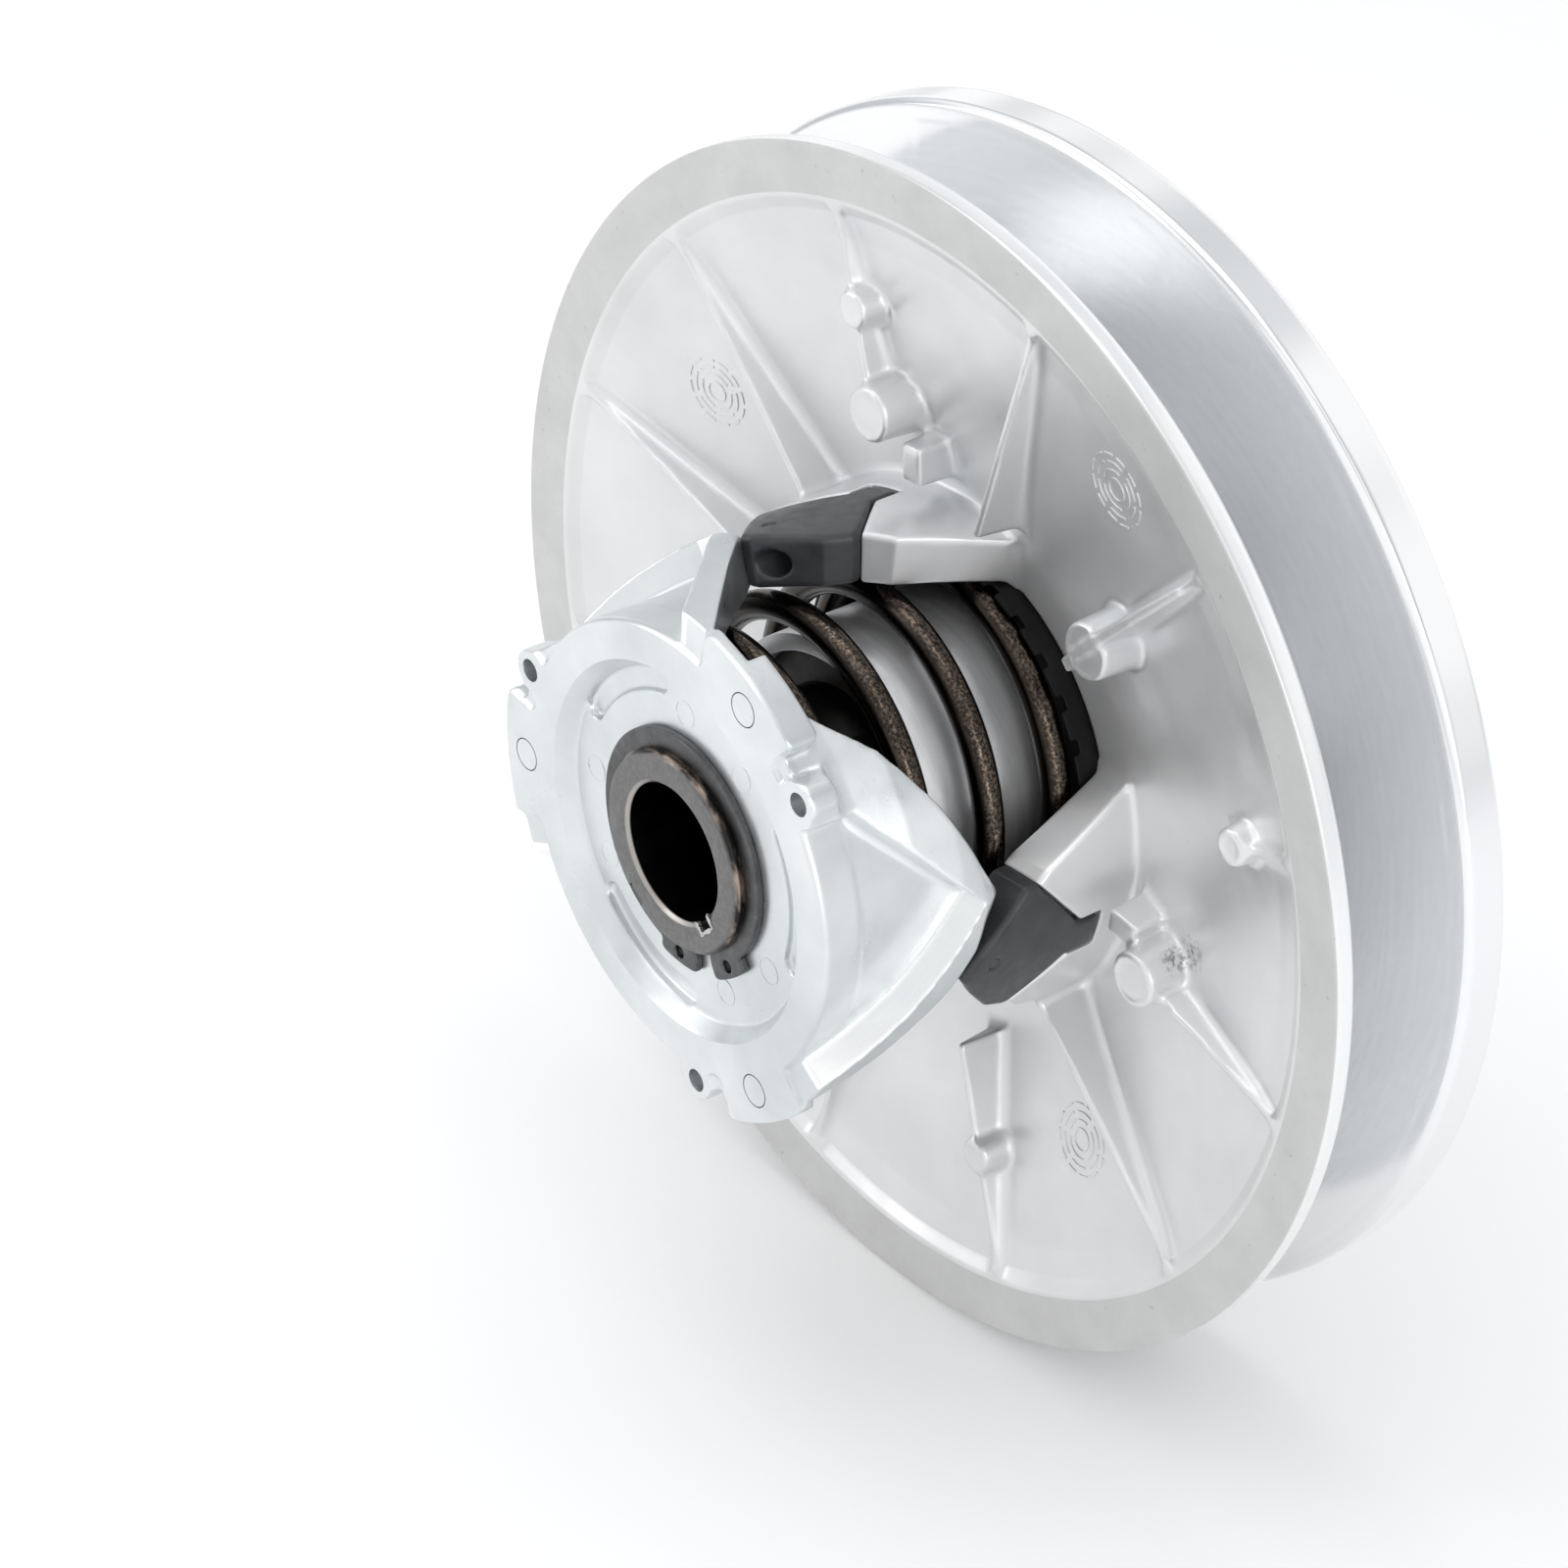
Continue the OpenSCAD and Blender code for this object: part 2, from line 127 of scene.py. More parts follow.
class Field:
    """Sample points all round the axis, by angle, y and radius, with the distance of a solid at each."""

    OVERLAP = 2
    SEAM = 0.123  # where a closed surface is cut, between two planes of samples

    def __init__(self, angles, heights, radii, count):
        """Angles run over (first, last) in count steps, or all the way round from the first."""
        first, last = angles
        self.count, self.closed = count, last - first == 360
        extra = self.OVERLAP if self.closed else 0
        turns = first + (last - first) / count * np.arange(-extra, count + 1 + extra)
        self.axes = [np.asarray(axis, np.float32) for axis in (turns, heights, radii)]
        self.shape = tuple(len(axis) for axis in self.axes)
        self.take(self.axes[0])

    def take(self, angles):
        """Sets the coordinates of the samples at these angles."""
        self.a, self.y, self.r = angles[:, None, None], self.axes[1][None, :, None], self.axes[2][None, None, :]
        self.x, self.z = self.r * np.cos(np.radians(self.a)), self.r * np.sin(np.radians(self.a))

    def sector(self, angle, reach):
        """The part of the field within reach degrees of an angle."""
        part = object.__new__(Field)
        part.axes = self.axes
        part.columns = np.nonzero(np.abs(turn_from(self.axes[0], angle)) < reach)[0]
        part.take(self.axes[0][part.columns])
        return part

    def join(self, d, piece, k):
        """Adds a piece to the whole field's distance, with a fillet."""
        d[self.columns] = smin(d[self.columns], piece, k)

    def cut(self, d, piece, k):
        """Takes a piece out of the whole field's distance."""
        d[self.columns] = smax(d[self.columns], -piece, k)

    def full(self, d):
        return np.array(np.broadcast_to(d, self.shape), np.float32)

    def turned(self, profile):
        """Distance of a profile [r, y] turned about the axis."""
        return polygon_distance(self.r, self.y, profile)

    def unrolled(self, outline, angle):
        """Distance of an outline [degrees from angle, y], with degrees as arcs at the lobes' radius."""
        return polygon_distance(turn_from(self.a, angle) * ARC, self.y, [(t * ARC, y) for t, y in outline])

    def at(self, angle):
        """Radial and sideways coordinates about the radius at an angle."""
        c, s = math.cos(math.radians(angle)), math.sin(math.radians(angle))
        return self.x * c + self.z * s, self.z * c - self.x * s

    def post(self, r, angle, post_r, draft_from=None):
        """Distance to the side of a round post along the axis, wider away from draft_from."""
        u, v = self.at(angle)
        d = np.sqrt((u - r) ** 2 + v**2) - post_r
        if draft_from is not None:
            d = d - np.maximum(self.y - draft_from, 0) * 0.05
        return d

    def mesh(self, d):
        """The surface of d as points in mm and quads."""
        band = 3.0
        grid = openvdb.FloatGrid(band)
        grid.copyFromArray(np.ascontiguousarray(np.clip(np.broadcast_to(d, self.shape), -band, band), np.float32))
        points, quads = grid.convertToQuads(0.0)
        quads = quads.astype(np.int64)
        if self.closed:
            turn = points[:, 0] - self.OVERLAP
            middle = turn[quads].mean(1)
            quads = quads[(middle >= self.SEAM) & (middle < self.count + self.SEAM)]
            start, end = (np.nonzero(np.abs(turn - n) < 1.5)[0] for n in (0, self.count))
            tree = KDTree(len(start))
            for i in start:
                tree.insert(points[i], int(i))
            tree.balance()
            same = np.arange(len(points))
            for i in end:
                _, j, gap = tree.find(points[i] - np.array((self.count, 0, 0), np.float32))
                if gap < 0.02:
                    same[i] = j
            quads = same[quads]
        used, quads = np.unique(quads, return_inverse=True)
        quads = quads.reshape(-1, 4)[:, ::-1].astype(np.int32)
        a, y, r = (np.interp(points[used, i], np.arange(len(axis)), axis) for i, axis in enumerate(self.axes))
        return np.stack([r * np.cos(np.radians(a)), y, r * np.sin(np.radians(a))], -1), quads


def turn_from(a, angle):
    """Degrees from an angle, between -180 and 180."""
    return (a - angle + 180) % 360 - 180


def steps(*marks):
    """Sample places: marks are numbers with the step to the next between them."""
    parts = [np.arange(marks[i], marks[i + 2], marks[i + 1]) for i in range(0, len(marks) - 2, 2)]
    return np.concatenate(parts + [[marks[-1]]])


def put_in_scene(name, data):
    ob = bpy.data.objects.new(name, data)
    bpy.context.scene.collection.objects.link(ob)
    return ob


def from_bmesh(name, bm, turn_out=True):
    """An object from a bmesh, which is freed."""
    if turn_out:
        bmesh.ops.recalc_face_normals(bm, faces=bm.faces)
    me = bpy.data.meshes.new(name)
    bm.to_mesh(me)
    bm.free()
    return put_in_scene(name, me)


def quad_object(name, points, quads):
    """A smooth object from points in mm and an array of quads."""
    me = bpy.data.meshes.new(name)
    me.vertices.add(len(points))
    me.vertices.foreach_set("co", (np.asarray(points, np.float32) * MM).ravel())
    me.loops.add(quads.size)
    me.loops.foreach_set("vertex_index", quads.ravel())
    me.polygons.add(len(quads))
    me.polygons.foreach_set("loop_start", np.arange(0, quads.size, 4, dtype=np.int32))
    me.polygons.foreach_set("loop_total", np.full(len(quads), 4, np.int32))
    me.update(calc_edges=True)
    me.polygons.foreach_set("use_smooth", np.full(len(quads), True))
    me.validate()
    return put_in_scene(name, me)


def mark(ob, values, name="machined"):
    """Stores one number for each point, which a material may read."""
    layer = ob.data.attributes.new(name, "FLOAT", "POINT")
    layer.data.foreach_set("value", np.asarray(values, np.float32))


def relax(points, quads, rounds, keep=None):
    """Evens out small steps of the sampled surface, without shrinking it."""
    p = points.astype(np.float64)
    pairs = np.concatenate([quads[:, [i, (i + 1) % 4]] for i in range(4)])
    count = np.bincount(pairs.ravel(), minlength=len(p)).astype(float)
    count[count == 0] = 1
    for _ in range(rounds):
        for factor in (0.5, -0.53):  # a step in, then a step out
            total = np.stack([
                np.bincount(pairs[:, 0], p[pairs[:, 1], c], len(p))
                + np.bincount(pairs[:, 1], p[pairs[:, 0], c], len(p))
                for c in range(3)
            ], -1)
            move = (total / count[:, None] - p) * factor
            if keep is not None:
                move[keep] = 0
            p += move
    return p


def radii(p):
    return np.hypot(p[:, 0], p[:, 2])


# ---------------------------------------------------------------- measures, the same as in the CAD

BORE_R, HUB_R, HUB_END = 15.0, 22.2, 58.3
FLANGE_FRONT, FLANGE_BACK, FLANGE_R = 28, 32, 34
SLIDE_R, SLIDE_RIM_BACK, FLAT_RING_R = 133.0, 5.6, 122.0
FIXED_R, FIXED_FACE_Y, FIXED_BACK = 132.5, 35.4, 45.3
FIXED_RIBS, SEAT_NOTCHES = 12, 30
BELT_SLOPE = math.tan(math.radians(12))
BELT_IN_R = 62.0
CAM_FRONT, CAM_FLOOR, CAM_INSIDE = -57.8, -54.0, -49.0
EAR_R, EAR_ANGLE = 52.9, 38
SLOT_DEPTH = 1.6
RING_FRONT, RING_BACK, RING_IN_R = -55.8, -54.0, 20.7
THIRDS = (0, 120, 240)
ARC = math.radians(52)  # mm of arc for each degree at the radius of the lobes
TRAVEL, TURN = 27, 28.5  # mm and degrees of the sliding side, from rest to its limit
KEY_ANGLES, KEYWAY_ANGLE = (-127, 53), -45


def slide_face_y(r):
    return SLIDE_RIM_BACK + (SLIDE_R - 1.5 - r) * BELT_SLOPE


def fixed_face_y(r):
    return FIXED_FACE_Y - (FIXED_R - r) * BELT_SLOPE * 0.955


def ramp_y(a):
    return -28 + (a + 13) * 0.95


# ---------------------------------------------------------------- sliding sheave, one casting

# [angle, inner end of the ridge, its y there]
RIBS = [
    (131, 56, 5.5), (160, 60, 5), (101.5, 74, 4.6), (72, 64, 3.4), (43.4, 72, 1.0), (16, 98, 4),
    (-13, 74, 4.6), (-42, 56, 4), (-73, 66, 3.2), (-104, 60, 4), (191, 62, 4), (221, 74, 4.6),
]
# [radius, angle, post radius, front y]
BOSSES = [
    (76.6, 99.3, 6, 1.6), (75.8, -12, 6, 1.6), (76, 220, 6, 1.6), (76, 42.9, 6.1, 1.9),
    (98.5, 100.5, 4.0, 1.6), (92, -73, 4.0, 2), (103, 16, 4.0, 2.2),
]
# [radius, angle]
BLOCKS = [(67, 92.5), (67, -8), (67, 212)]
# [r, y], turned about the axis
WEB = [
    (34, 20), (45.8, 20), (45.8, 18), (52, 17.2), (62, 15.4), (80, 11.6), (112, 5.2), (118, 3.4),
    (120.5, 1.6), (124, -4), (140, -4), (140, 40), (34, 40),
]
# [degrees from a lobe's angle, y]
TOWER = [
    (-50, 18.5), (-36, -5.5), (-30.5, -9.9), (-20.5, 1.3), (-10.3, 2.3), (3, -9.5), (5, -7),
    (17.6, 18.5), (17.6, 21.5), (-50, 21.5),
]
TAIL_SEAT = [(-20.4, -4), (-10.6, -4), (-10.6, 8.4), (-20.4, 8.4)]


def web_front_y(r):
    return np.interp(r, [45.8, 52, 62, 80, 112, 118, 120.5, 122], [18, 17.2, 15.4, 11.6, 5.2, 3.4, 1.6, 1.2])


def rib_on(part, angle, start, end, y0, y1, half, draft=0.13):
    """Distance of a rib along a radius, whose ridge runs from y0 at start to y1 at end."""
    u, v = part.at(angle)
    depth = part.y - (y0 + (u - start) * ((y1 - y0) / (end - start)))
    rib = smax(np.abs(v) - half - np.maximum(depth, 0) * draft, -depth, 0.5)
    return smax(rib, np.maximum(start - u, u - end), 0.8)


def sliding_sheave():
    f = Field((-180, 180), steps(-13, 0.55, 28.2), steps(33.2, 0.7, 117.9, 0.45, 134.2), 1080)
    d = f.full(f.turned(WEB))
    for angle, start, ridge in RIBS:
        part = f.sector(angle, 14)
        part.join(d, rib_on(part, angle, start, 122.5, ridge, 2.1, 0.75), 3.0)
    for r, angle in BLOCKS:
        part = f.sector(angle, 12)
        u, v = part.at(angle)
        block = smax(np.abs(v) - 2.8 - (part.y - 5.2) * 0.08, smax(np.abs(u - r) - 4.2, 5.2 - part.y, 0.9), 0.9)
        part.join(d, block, 2.6)
    # the peg that reaches inwards from the boss at the window, and the rod from that boss to the rim
    part = f.sector(43.2, 8)
    part.join(d, rib_on(part, 43.2, 60.5, 72, 6.5, 6.0, 1.5), 1.2)
    part.join(d, rib_on(part, 43.4, 76, 112, 1.0, 2.0, 0.95, 0.02), 0.8)
    for r, angle, post_r, front in BOSSES:
        part = f.sector(angle, 14)
        post = smax(part.post(r, angle, post_r, front), front - part.y, 0.7)
        flash = np.maximum(np.abs(part.post(r, angle, post_r - 0.8)) - 0.4, front - 0.3 - part.y)
        part.join(d, np.minimum(post, np.maximum(flash, part.y - front - 1)), 1.8)
    for k in THIRDS:
        part = f.sector(k - 16, 42)
        shell = np.maximum(46.3 - part.r, part.r - 58)
        tower = smax(part.unrolled(TOWER, k), shell, 0.9)
        tower = np.maximum(tower, -np.maximum(part.unrolled(TAIL_SEAT, k), 55.4 - part.r))
        part.join(d, tower, 2.6)
    # the machined faces
    behind = smax(f.y - slide_face_y(f.r), f.y - 26, 0.3)
    front = np.where(f.r > 119.5, np.maximum(1.25 - (f.r - FLAT_RING_R) * 0.11, 0) - f.y, -50)
    rim = f.turned([(131.5, 5.6), (134, 3.1), (136, 3.1), (136, 9), (131.5, 9)])
    d = np.maximum(d, behind * 0.978)
    d = smax(smax(d, front, 0.3), f.r - SLIDE_R, 0.5)
    d = smax(np.maximum(d, 34.0 - f.r), -rim, 0.4)
    points, quads = f.mesh(d)
    r = radii(points)
    turned = (r > 118.5) | (points[:, 1] > slide_face_y(r) - 0.4)
    p = inside(relax(points, quads, 2, turned), "sliding_sheave")
    ob = quad_object("sliding_casting", p, quads)
    face = (r > BELT_IN_R) & (np.abs(p[:, 1] - slide_face_y(r)) < 0.4)
    ring = (r > FLAT_RING_R - 0.4) & (p[:, 1] < 2)
    edge = (r > SLIDE_R - 0.4) & (p[:, 1] > 0.4)
    mark(ob, face | edge)
    mark(ob, ring & ~edge, "dull")
    flat_edges(ob, 42)
    return ob


def inside(p, *nodes):
    """Keeps points within the box of CAD nodes."""
    lo = np.min([np.array(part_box(n)[0]) for n in nodes], 0) / MM
    hi = np.max([np.array(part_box(n)[1]) for n in nodes], 0) / MM
    return np.clip(p, lo, hi)


# ---------------------------------------------------------------- fixed sheave, one casting


def fixed_sheave():
    f = Field((-180, 180), steps(19, 0.65, 47), steps(21.4, 0.9, 127, 0.45, 134), 900)
    back = FIXED_BACK
    d = f.full(f.turned([
        (22.2, 32), (57, 32), (60, fixed_face_y(62) + 2), (62, fixed_face_y(62)), (131.3, fixed_face_y(132.5) - 0.2),
        (FIXED_R, 36.2), (FIXED_R, back - 0.8), (FIXED_R - 0.8, back), (FIXED_R - 8, back), (122.5, back - 3),
        (116.5, fixed_face_y(116) + 6), (66, fixed_face_y(66) + 7), (52, 42), (35, 42), (35, 44.8), (22.2, 44.8),
    ]))
    for i in range(FIXED_RIBS):
        angle = 15 + 360 / FIXED_RIBS * i
        part = f.sector(angle, 14)
        u, v = part.at(angle)
        depth = np.interp(u, [56, FIXED_R - 9], [44, back - 1.2]) - part.y
        rib = smax(np.abs(v) - 1.4 - np.maximum(depth, 0) * 0.08, -depth, 0.8)
        rib = np.maximum(rib, np.maximum(39 - u, u - (FIXED_R - 8)))
        rib = np.maximum(rib, fixed_face_y(part.r) + 2 - part.y)
        part.join(d, rib, 4)
    d = np.maximum(d, fixed_face_y(f.r) - f.y - 40 * (f.r < 62))
    d = np.maximum(d, HUB_R - f.r)
    points, quads = f.mesh(d)
    r = radii(points)
    turned = (points[:, 1] < fixed_face_y(r) + 1) | (r > FIXED_R - 7)
    p = inside(relax(points, quads, 2, turned), "fixed_sheave")
    ob = quad_object("fixed_casting", p, quads)
    face = (r > 62) & (np.abs(p[:, 1] - fixed_face_y(r)) < 0.5)
    mark(ob, face | (r > FIXED_R - 1.6))
    mark(ob, (p[:, 1] > back - 0.3) & (r > 120) & (r < FIXED_R - 1.6), "dull")
    flat_edges(ob, 42)
    return ob


# ---------------------------------------------------------------- cam, one casting

# [degrees from a lobe's angle, y], the ramp first
LOBE = [
    (-44, -56.8), (-44, -54.8), (-41, ramp_y(-41)), (-8, ramp_y(-8)), (-2.2, -21.2), (4.4, -18.1),
    (9, -20.4), (16, -23.6), (23.3, -27.6), (31, -32), (42, -38.4), (50, -45), (57, -49.8), (77, -51), (77, -56.8),
]
POCKET = [
    (-38, -62), (-34, -57.8), (-28, -51.4), (-17, -40), (-6, -30.8), (4, -23), (12, -31), (27, -44), (32, -47.5),
    (33, -62),
]
# the pocket's wall beside the ramp, which is milled
WALL = [(-40, -62), (-36, -58), (-17, -38), (4, -21.5), (7, -25), (-5, -34.5), (-15, -45), (-27, -57.8), (-31, -62)]


def cam():
    f = Field((-180, 180), steps(-59, 0.42, -17), steps(21.4, 0.45, 61.4), 800)
    d = f.full(f.turned([
        (22.2, CAM_FLOOR), (38.6, CAM_FLOOR), (41, CAM_FRONT + 0.4), (41.4, CAM_FRONT), (49, CAM_FRONT),
        (49.4, CAM_FRONT + 0.4), (49.4, CAM_INSIDE), (28, CAM_INSIDE), (28, -46), (22.2, -46),
    ]))
    for k in THIRDS:
        part = f.sector(k - 43.2, 12)
        # way for the shoes at the end of their travel
        sideways = (np.abs(turn_from(part.a, k - 43.2)) - 8.5) * ARC
        part.cut(d, np.maximum(np.maximum(45.7 - part.r, -54.5 - part.y), sideways), 0.3)
        part = f.sector(k + 16, 64)
        ahead = turn_from(part.a, k) > 4
        taper = np.where(ahead, np.interp(part.y, [-55, -47, -38, -28], [53.4, 54.6, 56.4, 57.5]), 57.5)
        # the tip is rounded across the lobe's thickness
        rounding = np.interp(part.y, [-30, -22], [0.5, 4.5])
        lobe = smax(part.unrolled(LOBE, k), smax(45.4 - part.r, part.r - taper, 0.4), rounding)
        lobe = smax(lobe, -smax(part.unrolled(POCKET, k), 49.7 - part.r, 2.0), 0.4)
        part.join(d, lobe, 1.6)
        part = f.sector(k + 60, 36)
        sideways = (np.abs(turn_from(part.a, k + 63)) - 15) * ARC
        pad = smax(np.maximum(44 - part.r, part.r - 58.6), np.maximum(CAM_FRONT - part.y, part.y + 50.4), 0.6)
        part.join(d, smax(pad, sideways, 1.8), 1.2)
        u, v = part.at(k + EAR_ANGLE)
        ear = smax(part.post(EAR_R, k + EAR_ANGLE, 4.6), np.maximum(CAM_FRONT - part.y, part.y + 51), 0.8)
        neck = np.maximum(np.abs(v) - 3.6, np.abs(u - 49) - 3)
        neck = np.maximum(neck, np.maximum(CAM_FRONT - part.y, part.y + 46))
        part.join(d, smin(ear, neck, 1.5), 2.2)
        sideways = (np.abs(turn_from(part.a, k + 74.5)) - 4) * ARC
        run = np.maximum(np.maximum(45.9 - part.r, sideways), np.maximum(-54.4 - part.y, part.y + 46))
        part.cut(d, run, 0.6)
        part.cut(d, np.maximum(part.post(EAR_R, k + EAR_ANGLE, 2.5), part.y + 51.5), 0.5)
        # the shoe's place at the end of its travel
        part = f.sector(k - 43, 24)
        end = [(t - TURN, y - TRAVEL) for t, y in SHOE]
        part.cut(d, np.maximum(part.unrolled(end, k) - 0.14, np.maximum(46.3 - part.r, part.r - 58.4)), 0.2)
        part = f.sector(k + 7, 34)
        sideways = np.maximum(np.abs(turn_from(part.a, k + 7)) - 23, 0) * math.radians(36.1)
        slot = np.sqrt((part.r - 36.1) ** 2 + sideways**2) - 2.5
        part.cut(d, smax(slot, part.y - CAM_FLOOR - SLOT_DEPTH, 1.0), 0.6)
    d = np.maximum(np.maximum(d, CAM_FRONT - f.y), HUB_R - f.r)
    for angle in KEY_ANGLES:
        part = f.sector(angle, 12)
        u, v = part.at(angle)
        part.cut(d, np.maximum(np.maximum(np.abs(v) - 2.5, u - 24.7), np.maximum(10 - u, part.y + 44)), 0.4)
    points, quads = f.mesh(d)
    p = relax(points, quads, 1)
    front = p[:, 1] < CAM_FRONT + 0.3
    p[front, 1] = CAM_FRONT
    p = inside(p, "cam")
    ob = quad_object("cam_casting", p, quads)
    r, a = radii(p), np.degrees(np.arctan2(p[:, 2], p[:, 0]))
    a = (a + 50) % 120 - 50
    milled = (polygon_distance(a * ARC, p[:, 1], [(t * ARC, y) for t, y in WALL]) < 0) & (r > 50.6) & (r < 57.4)
    mark(ob, milled)
    flat_edges(ob, 48)
    return ob


# ---------------------------------------------------------------- shoes and their pins

SHOE = [
    (-30.5, -12), (-27.5, -17.5), (-20, -23.5), (-15, -26.6), (-12, ramp_y(-12) + 0.3), (3, ramp_y(3) + 0.3),
    (3, -9.7), (-10.5, 2), (-11, 7.6), (-20, 8.2), (-20.5, 1), (-30.5, -10.2),
]
PIN_ANGLE, PIN_Y = -12.5, -19.6


def shoe():
    """Points and quads of the first shoe; the others are turned copies."""
    f = Field((-34, 7), steps(-29, 0.38, 10.2), steps(44, 0.38, 60), 110)
    thick = np.interp(f.y, [-8, -1.5], [46.6, 55.6]).astype(np.float32)
    outline = f.unrolled(SHOE, 0)
    d = smax(outline, smax(thick - f.r, f.r - 58, 2.4), 1.5)
    d = np.maximum(d, outline)
    # dimple over the pin, and the moulded opening at the front
    _, v = f.at(PIN_ANGLE)
    d = smax(d, 1.3 - np.sqrt(v**2 + (f.y - PIN_Y) ** 2), 0.4)
    d = smax(d, -smax(f.post(52.0, -18.6, 3.0), f.y + 17.5, 0.8), 0.6)
    points, quads = f.mesh(d)
    return relax(points, quads, 2), quads


def turned_points(points, angle):
    c, s = math.cos(math.radians(angle)), math.sin(math.radians(angle))
    out = np.array(points)
    out[:, 0] = points[:, 0] * c - points[:, 2] * s
    out[:, 2] = points[:, 0] * s + points[:, 2] * c
    return out


# ---------------------------------------------------------------- turned and swept pieces


def ring_quads(rows, columns, closed_rows):
    """Quads of a grid of rows by columns, whose columns close on themselves."""
    i = np.arange(rows if closed_rows else rows - 1)[:, None]
    j = np.arange(columns)[None, :]
    k, l = (i + 1) % rows, (j + 1) % columns
    return np.stack([i * columns + j, i * columns + l, k * columns + l, k * columns + j], -1).reshape(-1, 4)


def turned_piece(name, profile, segments=160, rounding=0.35):
    """A closed profile [r, y] turned about the axis, its corners rounded by three points each."""
    corners = []
    count = len(profile)
    for i in range(count):
        p, before, after = (np.array(profile[k % count], float) for k in (i, i - 1, i + 1))
        reach = min(rounding, np.linalg.norm(before - p) / 3, np.linalg.norm(after - p) / 3)
        one = p + (before - p) / np.linalg.norm(before - p) * reach
        two = p + (after - p) / np.linalg.norm(after - p) * reach
        corners += [one, (one + two + 2 * p) / 4, two]
    t = 2 * np.pi * np.arange(segments) / segments
    points = np.concatenate([
        np.stack([r * np.cos(t), np.full(segments, y), r * np.sin(t)], -1) for r, y in corners
    ])
    ob = quad_object(name, points, ring_quads(len(corners), segments, True))
    face_outwards(ob)
    flat_edges(ob, 40)
    return ob


def face_outwards(ob):
    bm = bmesh.new()
    bm.from_mesh(ob.data)
    bmesh.ops.recalc_face_normals(bm, faces=bm.faces)
    bm.to_mesh(ob.data)
    bm.free()


def flat_edges(ob, angle):
    """Smooth shading, but sharp across edges over an angle."""
    limit = math.radians(angle)
    bm = bmesh.new()
    bm.from_mesh(ob.data)
    for face in bm.faces:
        face.smooth = True
    for edge in bm.edges:
        edge.smooth = len(edge.link_faces) == 2 and edge.calc_face_angle(0) < limit
    bm.to_mesh(ob.data)
    bm.free()


def cut(ob, cutters):
    """Takes closed cutters out of a closed piece and removes them."""
    for cutter in cutters:
        m = ob.modifiers.new("cut", "BOOLEAN")
        m.operation, m.solver, m.object = "DIFFERENCE", "EXACT", cutter
        bpy.context.view_layer.update()
        graph = bpy.context.evaluated_depsgraph_get()
        me = bpy.data.meshes.new_from_object(ob.evaluated_get(graph))
        ob.modifiers.clear()
        ob.data = me
        bpy.data.objects.remove(cutter)


def box_cutter(angle, u0, u1, half_v, y0, y1):
    """A box from u0 to u1 along the radius at an angle, and from y0 to y1."""
    c, s = math.cos(math.radians(angle)), math.sin(math.radians(angle))
    bm = bmesh.new()
    bmesh.ops.create_cube(bm, size=1)
    for v in bm.verts:
        u = u0 if v.co.x < 0 else u1
        w = -half_v if v.co.z < 0 else half_v
        y = y0 if v.co.y < 0 else y1
        v.co = Vector((u * c - w * s, y, u * s + w * c)) * MM
    return from_bmesh("cutter", bm)


def hub_tube():
    """The tube with its flange, ring groove, keyway and key slots."""
    face = -HUB_END + 0.12  # the burrs stand proud of it
    ob = turned_piece("hub", [
        (BORE_R + 1.0, face), (HUB_R - 1.0, face), (HUB_R, -HUB_END + 1.0), (HUB_R, RING_FRONT), (RING_IN_R, RING_FRONT),
        (RING_IN_R, RING_BACK), (HUB_R, RING_BACK), (HUB_R, FLANGE_FRONT), (FLANGE_R, FLANGE_FRONT),
        (FLANGE_R, FLANGE_BACK), (HUB_R, FLANGE_BACK), (HUB_R, HUB_END - 1.2),
        (HUB_R - 1.2, HUB_END), (BORE_R + 1.2, HUB_END), (BORE_R, HUB_END - 1.2), (BORE_R, -HUB_END + 1.0),
    ], 192, 0.2)
    cut(ob, [
        box_cutter(KEYWAY_ANGLE, 10, 17.5, 2.5, -60, 60),
        box_cutter(KEY_ANGLES[0], 19.7, 26, 2.5, -60, -46),
        box_cutter(KEY_ANGLES[1], 19.7, 26, 2.5, -54, -46),
    ])
    flat_edges(ob, 35)
    return ob


def burrs():
    """Torn edges that the broach left round the mouth of the keyway."""
    rng = np.random.default_rng(7)
    bm = bmesh.new()
    c, s = math.cos(math.radians(KEYWAY_ANGLE)), math.sin(math.radians(KEYWAY_ANGLE))
    middle = Vector((16.0, 0))
    path = [(14.6, -2.5), (17.5, -2.5), (17.5, 2.5), (14.6, 2.5)]
    line = []
    for (u0, v0), (u1, v1) in zip(path[:-1], path[1:]):
        for t in np.linspace(0, 1, 9)[:-1]:
            line.append((u0 + (u1 - u0) * t, v0 + (v1 - v0) * t))
    line.append(path[-1])
    rows = []
    for u, v in line:
        out = rng.uniform(0.1, 0.55)
        grow = rng.uniform(0.1, 0.6)
        away = (Vector((u, v)) - middle).normalized()
        row = []
        for k, y in ((-0.05, -HUB_END + 0.9), (0.12 + grow, -HUB_END), (-0.2 - out, -HUB_END + 0.04)):
            uu, vv = u + away.x * k, v + away.y * k
            row.append(bm.verts.new(Vector((uu * c - vv * s, y, uu * s + vv * c)) * MM))
        rows.append(row)
    for one, two in zip(rows[:-1], rows[1:]):
        for i in range(3):
            j = (i + 1) % 3
            bm.faces.new((one[i], one[j], two[j], two[i]))
    bm.faces.new(rows[0])
    bm.faces.new(rows[-1][::-1])
    return from_bmesh("keyway_burrs", bm)


SPRING_FRONT, SPRING_BACK = -47.7, 16.4
COIL_R, WIRE_D, SPRING_START, END_TURN, ACTIVE_TURNS = 41.0, 6.4, -11, 0.6, 3.27


